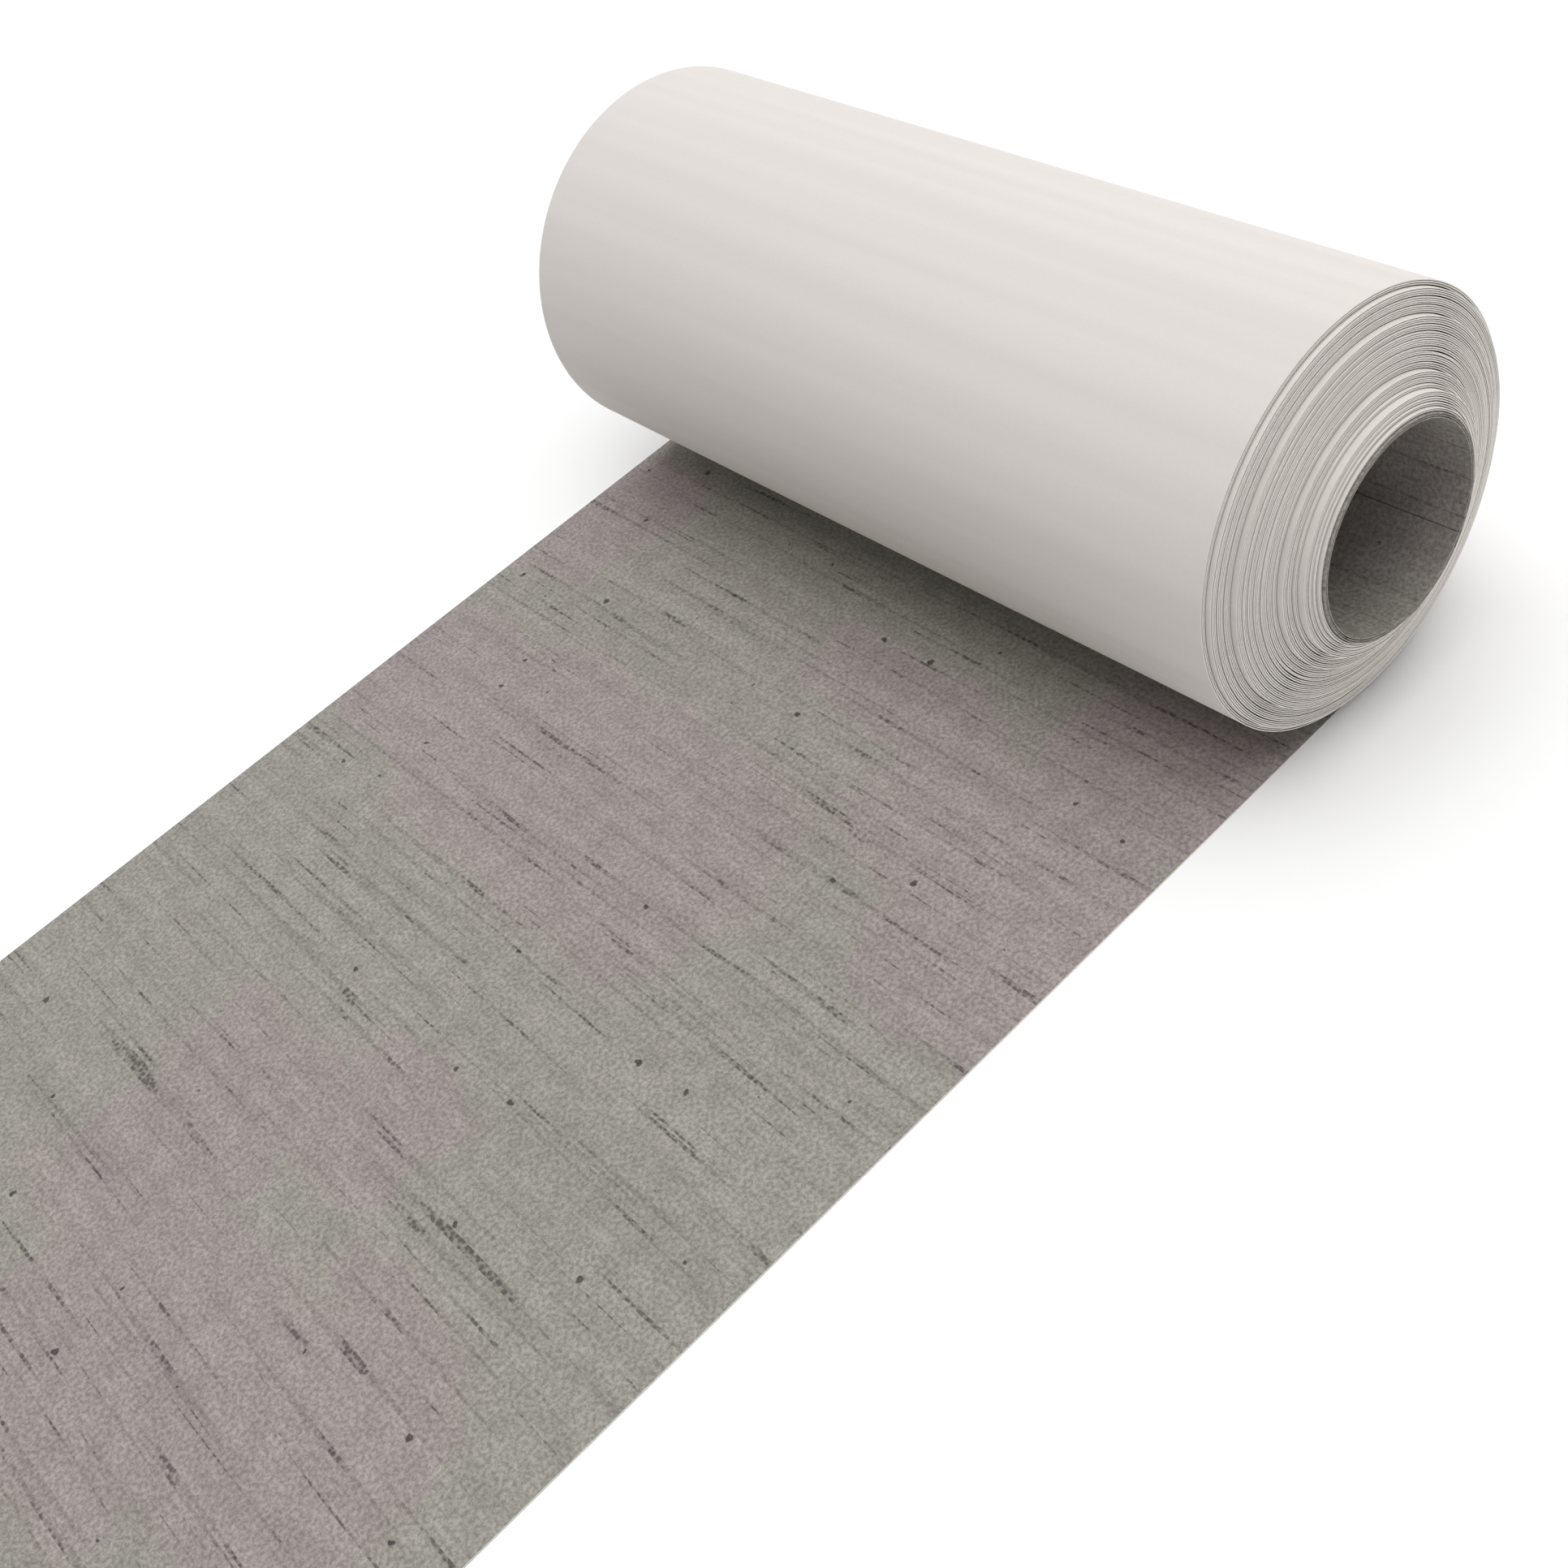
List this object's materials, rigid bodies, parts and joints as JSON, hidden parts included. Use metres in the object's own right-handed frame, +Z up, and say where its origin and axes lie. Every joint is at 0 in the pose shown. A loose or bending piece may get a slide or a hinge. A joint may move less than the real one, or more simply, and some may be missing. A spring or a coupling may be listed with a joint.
{
  "type": "backdrop paper roll",
  "caption": "Coreless roll of printed backdrop paper, white back outwards, one end telescoped into a blunt cone, its first stretch laid out flat.",
  "frame": {"origin": "middle of the object's footprint on the floor it lies on", "axes": "+X along the roll's axis towards its coned end, +Y from the sheet's free end towards the roll, +Z up"},
  "size_m": [0.558, 1.2152, 0.2305],
  "materials": {
    "white_back": "uncoated matte white back, faint bands across the web",
    "printed_face": "matte grey print of board-marked concrete with pores and faint mauve and green patches"
  },
  "bodies": {
    "laid_sheet": {"laid_run": "printed_face"},
    "free_end": {"free_end": "printed_face"},
    "outer_turn": {"outer_turn": "white_back"},
    "wound_roll": {"wound_pack_1": "white_back", "wound_pack_2": "white_back", "wound_pack_3": "white_back", "wound_pack_4": "white_back"},
    "middle_turns": {"middle_pack_1": "white_back", "middle_pack_2": "white_back", "middle_pack_3": "white_back", "middle_pack_4": "white_back", "middle_pack_5": "white_back", "middle_pack_6": "white_back", "middle_pack_7": "white_back"},
    "inner_turns": {"inner_pack_1": "white_back", "inner_pack_2": "white_back", "inner_pack_3": "white_back"},
    "core_turns": {"core_pack_1": "white_back", "core_pack_2": "white_back", "core_pack_3": "white_back"},
    "starter_turns": {"starter_pack_1": "white_back", "starter_pack_2": "printed_face", "inner_end_turn": "printed_face"}
  },
  "joints": [
    {"name": "roll_travel", "type": "slide", "parent": "laid_sheet", "child": "outer_turn", "axis": [0, -1, 0], "range_m": [0, 0.7], "deforming": ["laid_run"]},
    {"name": "roll_turn", "type": "hinge", "parent": "outer_turn", "child": "wound_roll", "pos_m": [0, 0.49225, 0.1155], "axis": [1, 0, 0], "range_deg": [0, 347.7]},
    {"name": "middle_slide", "type": "slide", "parent": "wound_roll", "child": "middle_turns", "axis": [1, 0, 0], "range_m": [-0.0035, 0.01]},
    {"name": "inner_slide", "type": "slide", "parent": "middle_turns", "child": "inner_turns", "axis": [1, 0, 0], "range_m": [-0.00321, 0.00915]},
    {"name": "core_slide", "type": "slide", "parent": "inner_turns", "child": "core_turns", "axis": [1, 0, 0], "range_m": [-0.00371, 0.01058]},
    {"name": "starter_slide", "type": "slide", "parent": "core_turns", "child": "starter_turns", "axis": [1, 0, 0], "range_m": [-0.00181, 0.00515]},
    {"name": "free_end_lift", "type": "hinge", "parent": "laid_sheet", "child": "free_end", "pos_m": [0, -0.35775, 0.0006], "axis": [-1, 0, 0], "range_deg": [0, 80]}
  ],
  "couplings": [
    {"joint": "roll_turn", "follows": "roll_travel", "rad_per_m": 8.658},
    {"joint": "inner_slide", "follows": "middle_slide", "ratio": 0.91429},
    {"joint": "core_slide", "follows": "middle_slide", "ratio": 1.0571},
    {"joint": "starter_slide", "follows": "middle_slide", "ratio": 0.51429}
  ]
}
